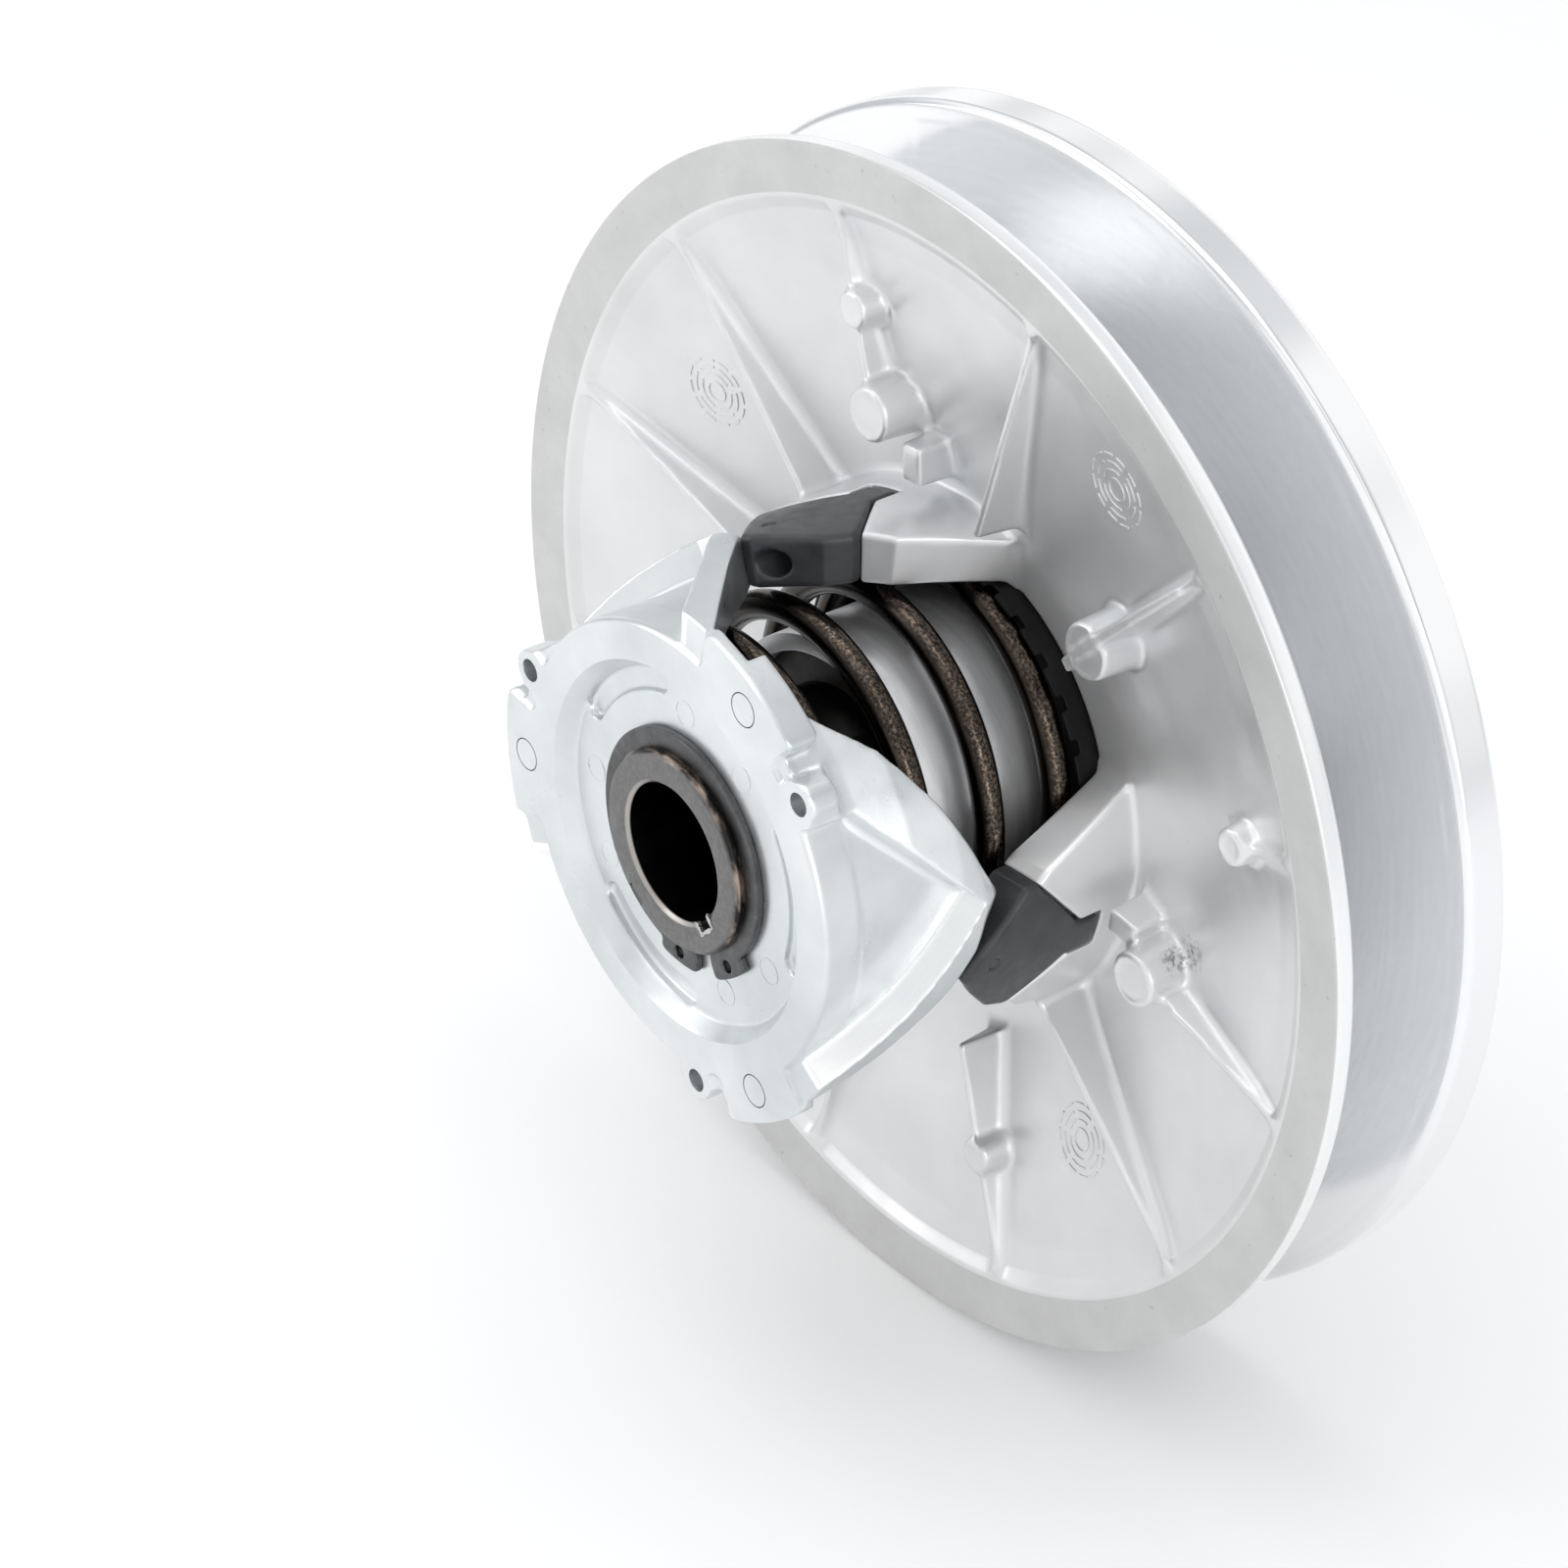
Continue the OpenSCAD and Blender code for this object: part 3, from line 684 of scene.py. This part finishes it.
def spring():
    """The coil with closed ends, ground flat where they meet their seats."""
    total = ACTIVE_TURNS + 2 * END_TURN
    rows, sides = 420, 20
    t = np.linspace(0, 1, rows)
    a = np.radians(SPRING_START + 360 * (t * total - END_TURN))
    share = np.clip((t * total - END_TURN) / ACTIVE_TURNS, 0, 1)
    low, high = SPRING_FRONT + WIRE_D / 2, SPRING_BACK - WIRE_D / 2
    y = low + (high - low) * share
    w = 2 * np.pi * np.arange(sides) / sides
    round_end = np.sqrt(np.clip(1 - np.clip(1 - np.minimum(t, 1 - t) / 0.004, 0, 1) ** 2, 0.02, 1))
    wire = WIRE_D / 2 * round_end[:, None]
    r = COIL_R + wire * np.cos(w)[None, :]
    yy = y[:, None] + wire * np.sin(w)[None, :]
    yy = np.clip(yy, SPRING_FRONT + 0.02, SPRING_BACK - 0.02)
    points = np.stack([r * np.cos(a)[:, None], yy, r * np.sin(a)[:, None]], -1).reshape(-1, 3)
    ob = quad_object("coil_spring", points, ring_quads(rows, sides, False))
    bm = bmesh.new()
    bm.from_mesh(ob.data)
    bm.verts.ensure_lookup_table()
    for first in (0, (rows - 1) * sides):
        bm.faces.new([bm.verts[first + k] for k in range(sides)])
    bmesh.ops.recalc_face_normals(bm, faces=bm.faces)
    bm.to_mesh(ob.data)
    bm.free()
    return ob


RING_GAP, RING_EARS = -72, (-92, -53)


def snap_ring():
    f = Field((-180, 180), steps(-56.9, 0.22, -53), steps(19.8, 0.22, 29.4), 600)
    u, v = f.at(RING_GAP + 180)
    d = np.maximum(np.sqrt((u - 0.4) ** 2 + v**2) - 25.9, RING_IN_R - f.r)
    for a in RING_EARS:
        arc = (np.abs(turn_from(f.a, a)) - 13) * math.radians(26)
        ear = smax(np.maximum(22 - f.r, f.r - 28.2), arc, 1.6)
        d = smin(d, ear, 1.2)
    gap = np.maximum(np.abs(v) - 2.6, u)
    d = smax(d, -gap, 0.6)
    for a in RING_EARS:
        d = np.maximum(d, -f.post(25.6, a, 1.4))
    d = smax(d, np.maximum(RING_FRONT - f.y, f.y - RING_BACK), 0.5)
    points, quads = f.mesh(d)
    p = relax(points, quads, 2)
    p = inside(p, "snap_ring")
    return quad_object("snap_ring_eared", p, quads)


def rear_seat():
    f = Field((-180, 180), steps(11.5, 0.4, 21), steps(33.6, 0.5, 43, 0.25, 46.6), 720)
    d = f.turned([(34.2, 18), (44.5, 18), (44.5, 12.5), (45.6, 12.5), (45.6, 20), (34.2, 20)])
    for i in range(SEAT_NOTCHES):
        u, v = f.at(360 / SEAT_NOTCHES * i)
        d = np.maximum(d, -np.maximum(np.maximum(np.abs(v) - 1.6, 30 - u), f.y - 14.2))
    points, quads = f.mesh(d)
    return quad_object("rear_seat_ring", inside(points, "rear_spring_seat"), quads)


# ---------------------------------------------------------------- fine cast marks


def strip(bm, path, width, height):
    """A low raised line along points (position, normal) on a surface, closed at both ends."""
    rows = []
    count = len(path)
    for i, (p, n) in enumerate(path):
        ahead = path[min(i + 1, count - 1)][0] - path[max(i - 1, 0)][0]
        side = ahead.cross(n).normalized() * (width / 2)
        rows.append([bm.verts.new(q * MM) for q in (
            p - side - n * 0.25, p - side * 0.6 + n * height, p + side * 0.6 + n * height, p + side - n * 0.25,
        )])
    for one, two in zip(rows[:-1], rows[1:]):
        for i in range(4):
            j = (i + 1) % 4
            bm.faces.new((one[i], one[j], two[j], two[i]))
    bm.faces.new(rows[0])
    bm.faces.new(rows[-1][::-1])


def arc_on(surface, r, angle, radius, a0, a1, count):
    """Points and normals of an arc about a place on a surface given by y(r)."""
    c, s = math.cos(math.radians(angle)), math.sin(math.radians(angle))
    out = []
    for i in range(count + 1):
        t = math.radians(a0 + (a1 - a0) * i / count)
        u, v = r + radius * math.cos(t), radius * math.sin(t)
        x, z = u * c - v * s, u * s + v * c
        here = math.hypot(x, z)
        slope = float(surface(here + 0.5) - surface(here - 0.5))
        n = Vector((x / here * slope, -1, z / here * slope)).normalized()
        out.append((Vector((x, float(surface(here)), z)), n))
    return out


def marks(name, draw):
    """One piece out of the low lines that draw makes."""
    bm = bmesh.new()
    draw(bm)
    return from_bmesh(name, bm)


def dial(bm, r, angle):
    """A plain round casting mark: three rings and a circle of short strokes."""
    for radius, pieces, gap in ((7.8, 12, 9), (6.0, 6, 14), (4.2, 3, 24), (2.4, 1, 0)):
        for i in range(pieces):
            a0 = 360 / pieces * i + gap / 2
            a1 = 360 / pieces * (i + 1) - gap / 2
            strip(bm, arc_on(web_front_y, r, angle, radius, a0, a1, max(4, 36 // pieces)), 0.62, 0.22)


def cam_marks(bm):
    """Rings left by the ejector pins on the cam's face and on its floor."""
    for k in THIRDS:
        strip(bm, arc_on(lambda r: CAM_FRONT, 51.5, k + 62, 3.6, 0, 360, 30), 0.4, 0.0)
        for angle in (54, 90):
            strip(bm, arc_on(lambda r: CAM_FLOOR, 31.5, k + angle, 2.9, 0, 360, 24), 0.35, 0.1)


# ---------------------------------------------------------------- materials


class Shader:
    """A procedural material: a Principled shader and the nodes that drive it."""

    def __init__(self, name, **fixed):
        self.material = bpy.data.materials.new(name)
        self.material.use_nodes = True
        self.tree = self.material.node_tree
        self.bsdf = self.tree.nodes["Principled BSDF"]
        for key, value in fixed.items():
            self.bsdf.inputs[key.replace("_", " ")].default_value = value
        self.position = self.add("ShaderNodeTexCoord").outputs["Object"]

    def add(self, kind, **properties):
        node = self.tree.nodes.new(kind)
        for key, value in properties.items():
            setattr(node, key, value)
        return node

    def link(self, source, target):
        self.tree.links.new(source, target)

    def value(self, source, target):
        """Feeds an input from a number, a colour or another node's output."""
        if isinstance(source, (int, float)):
            target.default_value = source
        elif isinstance(source, tuple):
            target.default_value = (*source, 1)
        else:
            self.link(source, target)

    def math(self, operation, a, b=None, clamp=False):
        node = self.add("ShaderNodeMath", operation=operation, use_clamp=clamp)
        self.value(a, node.inputs[0])
        if b is not None:
            self.value(b, node.inputs[1])
        return node.outputs[0]

    def axis(self, name):
        node = self.add("ShaderNodeSeparateXYZ")
        self.link(self.position, node.inputs[0])
        return node.outputs[name]

    def wound(self, stretch):
        """Coordinates round the axis (metres), drawn out along the turn."""
        turn = self.math("ARCTAN2", self.axis("Z"), self.axis("X"))
        joined = self.add("ShaderNodeCombineXYZ")
        self.link(self.math("MULTIPLY", turn, 0.04 / stretch), joined.inputs["X"])
        self.link(self.axis("Y"), joined.inputs["Y"])
        self.link(self.radius(), joined.inputs["Z"])
        return joined.outputs[0]

    def noise(self, scale, detail=3, rough=0.5, stretch=None, source=None):
        node = self.add("ShaderNodeTexNoise")
        node.inputs["Scale"].default_value = scale
        node.inputs["Detail"].default_value = detail
        node.inputs["Roughness"].default_value = rough
        source = source or self.position
        if stretch:
            mapping = self.add("ShaderNodeMapping")
            mapping.inputs["Scale"].default_value = stretch
            self.link(source, mapping.inputs["Vector"])
            source = mapping.outputs["Vector"]
        self.link(source, node.inputs["Vector"])
        return node.outputs["Fac"]

    def radius(self):
        x, z = self.axis("X"), self.axis("Z")
        squares = self.math("ADD", self.math("MULTIPLY", x, x), self.math("MULTIPLY", z, z))
        return self.math("SQRT", squares)

    def nearness(self, place, reach):
        """1 at a place on the object, 0 beyond reach of it (metres)."""
        node = self.add("ShaderNodeVectorMath", operation="DISTANCE")
        self.link(self.position, node.inputs[0])
        node.inputs[1].default_value = place
        return self.span(node.outputs["Value"], 1, 0, reach * 0.4, reach)

    def turning(self, scale):
        """Fine rings about the axis, as a cutting tool leaves."""
        node = self.add("ShaderNodeTexNoise", noise_dimensions="1D")
        node.inputs["Scale"].default_value = 1.0
        node.inputs["Detail"].default_value = 2
        self.link(self.math("MULTIPLY", self.radius(), scale), node.inputs["W"])
        return node.outputs["Fac"]

    def span(self, fac, low, high, from_low=0.3, from_high=0.7):
        """Maps a noise to a range."""
        node = self.add("ShaderNodeMapRange")
        self.link(fac, node.inputs["Value"])
        for key, number in (("From Min", from_low), ("From Max", from_high), ("To Min", low), ("To Max", high)):
            node.inputs[key].default_value = number
        return node.outputs["Result"]

    def mix(self, fac, a, b, kind="FLOAT"):
        """Mixes two numbers."""
        node = self.add("ShaderNodeMix", data_type=kind)
        first, second, result = (6, 7, 2) if kind == "RGBA" else (2, 3, 0)
        self.value(fac, node.inputs[0])
        self.value(a, node.inputs[first])
        self.value(b, node.inputs[second])
        return node.outputs[result]

    def colour_mix(self, fac, a, b):
        return self.mix(fac, a, b, "RGBA")

    def attribute(self, name):
        return self.add("ShaderNodeAttribute", attribute_name=name).outputs["Fac"]

    def bump(self, *layers):
        """Bumps from (height, strength, distance in mm), one over the other."""
        normal = None
        for height, strength, distance in layers:
            node = self.add("ShaderNodeBump")
            self.link(height, node.inputs["Height"])
            self.value(strength, node.inputs["Strength"])
            node.inputs["Distance"].default_value = distance * MM
            if normal is not None:
                self.link(normal, node.inputs["Normal"])
            normal = node.outputs["Normal"]
        self.link(normal, self.bsdf.inputs["Normal"])

    def colour(self, socket):
        self.link(socket, self.bsdf.inputs["Base Color"])

    def roughness(self, socket):
        self.link(socket, self.bsdf.inputs["Roughness"])


def cast_metal(
    name, dark, light, bright, metallic, cast_rough=(0.3, 0.42), machined_rough=(0.2, 0.3), ring_scale=900, flaws=()
):
    """Die-cast aluminium, with bright turned faces and dull turned rings where attributes say so."""
    s = Shader(name, Metallic=metallic)
    machined, dull = s.attribute("machined"), s.attribute("dull")
    clouds = s.noise(24, 4, 0.55)
    grain = s.noise(1500, 2)
    flow = s.noise(90, 3, 0.6)
    tone = s.colour_mix(s.span(clouds, 0, 1), dark, light)
    stain = s.span(s.noise(310, 5, 0.75), 0, 1, 0.63, 0.8)
    tone = s.colour_mix(s.math("MULTIPLY", stain, 0.3), tone, tuple(c * 0.74 for c in dark))
    rings = s.turning(ring_scale)
    dull_tone = s.colour_mix(s.span(s.noise(60, 4, 0.6), 0, 1), (0.565, 0.565, 0.56), (0.64, 0.64, 0.635))
    nicks = s.span(s.noise(420, 2, 0.6), 0, 1, 0.69, 0.76)
    dull_tone = s.colour_mix(s.math("MULTIPLY", nicks, 0.4), dull_tone, (0.3, 0.3, 0.3))
    turned_tone = s.colour_mix(s.span(rings, 0, 1), tuple(c * 0.975 for c in bright), bright)
    tone = s.colour_mix(dull, s.colour_mix(machined, tone, turned_tone), dull_tone)
    pits = s.span(s.noise(800, 4, 0.7), 0, 0.9, 0.5, 0.6)
    for place in flaws:
        near = s.math("MULTIPLY", s.nearness(place, 0.0052), pits)
        tone = s.colour_mix(near, tone, (0.1, 0.1, 0.1))
    s.colour(tone)
    rough = s.span(flow, *cast_rough)
    rough = s.mix(machined, rough, s.span(rings, *machined_rough))
    s.roughness(s.mix(dull, rough, 0.5))
    cast = s.math("SUBTRACT", 1.0, s.math("MAXIMUM", machined, dull), clamp=True)
    s.bump(
        (grain, s.math("MULTIPLY", cast, 0.10), 0.12),
        (flow, s.math("MULTIPLY", cast, 0.16), 0.4),
        (rings, s.math("MULTIPLY", s.math("MAXIMUM", machined, dull), 0.03), 0.05),
    )
    return s.material


def steel(name, dark, light, rough, wear=None, scale=300, metallic=1.0, bump=0.06, streak=None):
    """Steel with uneven tone; wear shows a brighter metal in patches."""
    s = Shader(name, Metallic=metallic)
    fac = s.noise(scale, 4, 0.6, streak)
    tone = s.colour_mix(s.span(fac, 0, 1), dark, light)
    if wear:
        patch = s.span(s.noise(scale * 1.7, 5, 0.7, streak), 0, 1, 0.58, 0.72)
        tone = s.colour_mix(s.math("MULTIPLY", patch, wear[1]), tone, wear[0])
    s.colour(tone)
    s.roughness(s.span(s.noise(scale * 0.5, 3), *rough))
    s.bump((s.noise(scale * 4, 2), bump, 0.1))
    return s.material


def moulded(name, dark, light, rough=(0.38, 0.52), specular=0.5):
    """Moulded plastic with a fine grain."""
    s = Shader(name, Metallic=0.0, Specular_IOR_Level=specular)
    s.colour(s.colour_mix(s.span(s.noise(120, 4, 0.6), 0, 1), dark, light))
    s.roughness(s.span(s.noise(300, 3), *rough))
    s.bump((s.noise(2400, 2), 0.12, 0.08), (s.noise(160, 3), 0.15, 0.3))
    return s.material


def hub_steel(name):
    """Oiled steel: a plain grey end face, painted bronze glints round the side, a painted highlight on the bore's
    chamfer and a bore painted near black for its shade.
    """
    s = Shader(name, Metallic=1.0)
    r = s.radius()
    face = s.colour_mix(s.span(s.noise(900, 4, 0.6), 0, 1), (0.15, 0.148, 0.145), (0.205, 0.203, 0.2))
    specks = s.span(s.noise(1600, 2, 0.6), 0, 1, 0.72, 0.78)
    face = s.colour_mix(s.math("MULTIPLY", specks, 0.6), face, (0.75, 0.73, 0.7))
    streaks = s.noise(420, 4, 0.6, source=s.wound(6))
    glint = s.math("MULTIPLY", s.span(streaks, 0, 1, 0.46, 0.68), s.span(s.axis("Y"), 1, 0, -0.052, -0.050))
    side = s.colour_mix(glint, (0.03, 0.028, 0.027), (0.38, 0.30, 0.25))
    tone = s.colour_mix(s.span(r, 0, 1, 0.0212, 0.0218), face, side)
    # painted highlight: the bore's chamfer is made light
    tone = s.colour_mix(s.span(r, 1, 0, 0.0157, 0.0160), tone, (0.42, 0.40, 0.38))
    # painted shade: the bore itself is made near black
    s.colour(s.colour_mix(s.span(r, 0, 1, 0.0152, 0.0150), tone, (0.008, 0.008, 0.008)))
    s.roughness(s.span(s.noise(240, 3), 0.3, 0.46))
    s.bump((s.noise(2200, 2), 0.1, 0.05), (streaks, 0.1, 0.1))
    return s.material


def wire_steel(name):
    """Blackened spring wire, with a painted bronze sheen in fine patches on its outermost side."""
    s = Shader(name, Metallic=1.0)
    along = s.wound(7)
    shade = s.span(s.noise(420, 4, 0.6, source=along), 0, 1)
    tone = s.colour_mix(shade, (0.014, 0.012, 0.011), (0.042, 0.034, 0.028))
    # painted highlight: a bronze sheen painted into the colour along each coil's outer crest, in fine patches
    crest = s.span(s.radius(), 0, 1, 0.0428, 0.0441)
    painted_sheen = s.math("MULTIPLY", s.span(s.noise(1500, 5, 0.75), 0, 0.8, 0.45, 0.65), crest)
    s.colour(s.colour_mix(painted_sheen, tone, (0.27, 0.21, 0.165)))
    s.roughness(s.span(s.noise(300, 3, source=along), 0.16, 0.3))
    s.bump((s.noise(1300, 3, source=along), 0.1, 0.06))
    return s.material


# dark pits beside two bosses, in metres
FLAWS = ((-0.0195, 0.0065, 0.0785), (0.0805, 0.009, -0.0095))
CAST = cast_metal(
    "cast_sheave", dark=(0.68, 0.69, 0.70), light=(0.80, 0.80, 0.80), bright=(0.86, 0.87, 0.88), metallic=0.62,
    flaws=FLAWS,
)
FIXED = cast_metal(
    "cast_fixed", dark=(0.70, 0.70, 0.70), light=(0.80, 0.80, 0.80), bright=(0.88, 0.89, 0.90), metallic=0.86,
    machined_rough=(0.14, 0.17), ring_scale=700,
)
CAM = cast_metal(
    "cast_cam", dark=(0.60, 0.635, 0.65), light=(0.83, 0.85, 0.855), bright=(0.98, 0.98, 0.98), metallic=0.92,
    cast_rough=(0.26, 0.4), machined_rough=(0.34, 0.42),
)
HUB_STEEL = hub_steel("hub_steel")
DARK = steel("dark_steel", (0.05, 0.05, 0.05), (0.12, 0.12, 0.12), (0.28, 0.42), ((0.4, 0.37, 0.34), 0.3))
BRIGHT = steel(
    "bright_steel", (0.62, 0.63, 0.64), (0.82, 0.82, 0.83), (0.3, 0.38), scale=60, streak=(1, 6, 1), metallic=0.62
)
WIRE = wire_steel("spring_wire")
ZINC = steel("zinc_steel", (0.42, 0.42, 0.4), (0.6, 0.6, 0.58), (0.3, 0.45))
RING = steel("black_ring", (0.085, 0.087, 0.09), (0.14, 0.142, 0.145), (0.34, 0.46), ((0.3, 0.3, 0.3), 0.25))
LINER = moulded("liner", (0.035, 0.03, 0.026), (0.06, 0.052, 0.045))
SHOE_MAT = moulded("shoe_plastic", (0.021, 0.022, 0.025), (0.042, 0.044, 0.048), (0.3, 0.44))
SEAT_MAT = moulded("seat_plastic", (0.005, 0.005, 0.005), (0.011, 0.011, 0.011), (0.42, 0.55), 0.15)


def dress(ob, material):
    ob.data.materials.clear()
    ob.data.materials.append(material)
    return ob


def fit(ob, material, body, slot, *nodes):
    """Finishes a piece: its material, the body that it rides on and the CAD nodes that it stands for."""
    dress(ob, material)
    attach(ob, body)
    if nodes:
        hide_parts(*nodes)
    return ob


# ---------------------------------------------------------------- the object

fit(sliding_sheave(), CAST, SLIDING, "cast_aluminium", "sliding_sheave")
fit(marks("casting_marks", lambda bm: [dial(bm, 91, 144), dial(bm, 104, 56.5), dial(bm, 89, -54)]),
    CAST, SLIDING, "cast_aluminium")
fit(fixed_sheave(), FIXED, HUB, "cast_aluminium", "fixed_sheave")
fit(cam(), CAM, HUB, "cam_aluminium", "cam")
fit(marks("cam_marks", cam_marks), CAM, HUB, "cam_aluminium")
fit(hub_tube(), HUB_STEEL, HUB, "dark_steel", "hub_tube")
fit(burrs(), ZINC, HUB, "bright_steel")
fit(snap_ring(), RING, HUB, "dark_steel", "snap_ring")

shoe_points, shoe_quads = shoe()
for number, turn in enumerate(THIRDS, 1):
    node = f"ramp_shoe_{number}"
    fit(quad_object(f"shoe_{number}", inside(turned_points(shoe_points, turn), node), shoe_quads),
        SHOE_MAT, SLIDING, "black_plastic", node)

fit(turned_piece("sleeve", [(30, -18), (34, -18), (34, 26), (30, 26)], rounding=0.6), BRIGHT, SLIDING, "bright_steel",
    "guide_sleeve")
fit(rear_seat(), SEAT_MAT, SLIDING, "black_plastic", "rear_spring_seat")
coil = fit(spring(), WIRE, HUB, "spring_steel", "spring")
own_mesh(coil)

# the CAD nodes that stay
for material, names in (
    (ZINC, "sheave_rivets"),
    (BRIGHT, "gap_shim_1 gap_shim_2"),
    (DARK, "rivet_ring cam_key_1 cam_key_2 front_spring_seat"),
    (SHOE_MAT, "shoe_pin_1 shoe_pin_2 shoe_pin_3"),
    (LINER, "front_bush rear_bush"),
    (SEAT_MAT, "slip_washer"),
):
    for name in names.split():
        dress(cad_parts[name], material)

# ---------------------------------------------------------------- floor, lights, world


FLOOR_GAP = 0.0005


def floor():
    bm = bmesh.new()
    bmesh.ops.create_grid(bm, x_segments=2, y_segments=2, size=4)
    ob = from_bmesh("floor", bm, turn_out=False)
    ob.location.z = CAD_BOX[0][2] - FLOOR_GAP
    s = Shader("floor", Metallic=0.0, Roughness=0.9)
    s.colour(s.colour_mix(s.noise(3), (0.93, 0.93, 0.93), (0.95, 0.95, 0.95)))
    dress(ob, s.material)


def softbox(name, at, width, height, power):
    """A soft light at a place in metres, aimed at the object's middle."""
    data = bpy.data.lights.new(name, "AREA")
    data.shape, data.size, data.size_y = "RECTANGLE", width, height
    data.energy = power
    ob = put_in_scene(name, data)
    ob.location = at
    ob.rotation_euler = (-Vector(at)).to_track_quat("-Z", "Y").to_euler()


def studio():
    """A white room with some grey patches to reflect, and three soft lights."""
    world = bpy.data.worlds.new("studio")
    bpy.context.scene.world = world
    world.use_nodes = True
    nodes, links = world.node_tree.nodes, world.node_tree.links
    coord = nodes.new("ShaderNodeTexCoord")
    noise = nodes.new("ShaderNodeTexNoise")
    noise.inputs["Scale"].default_value = 1.6
    noise.inputs["Detail"].default_value = 1
    ramp = nodes.new("ShaderNodeValToRGB")
    for stop, place, colour in zip(
        ramp.color_ramp.elements, (0.38, 0.52), ((0.50, 0.515, 0.54, 1), (1, 1, 1, 1))
    ):
        stop.position, stop.color = place, colour
    links.new(coord.outputs["Generated"], noise.inputs["Vector"])
    links.new(noise.outputs["Fac"], ramp.inputs["Fac"])
    links.new(ramp.outputs["Color"], nodes["Background"].inputs["Color"])
    nodes["Background"].inputs["Strength"].default_value = 1.08
    softbox("top", (-0.2, -0.1, 1.5), 1.4, 1.4, 7)
    softbox("left", (-1.2, -1.1, 0.7), 0.9, 1.1, 5)
    softbox("right", (1.5, -0.3, 0.6), 0.6, 1.2, 5)
    bpy.context.scene.view_settings.view_transform = "Standard"


floor()
studio()
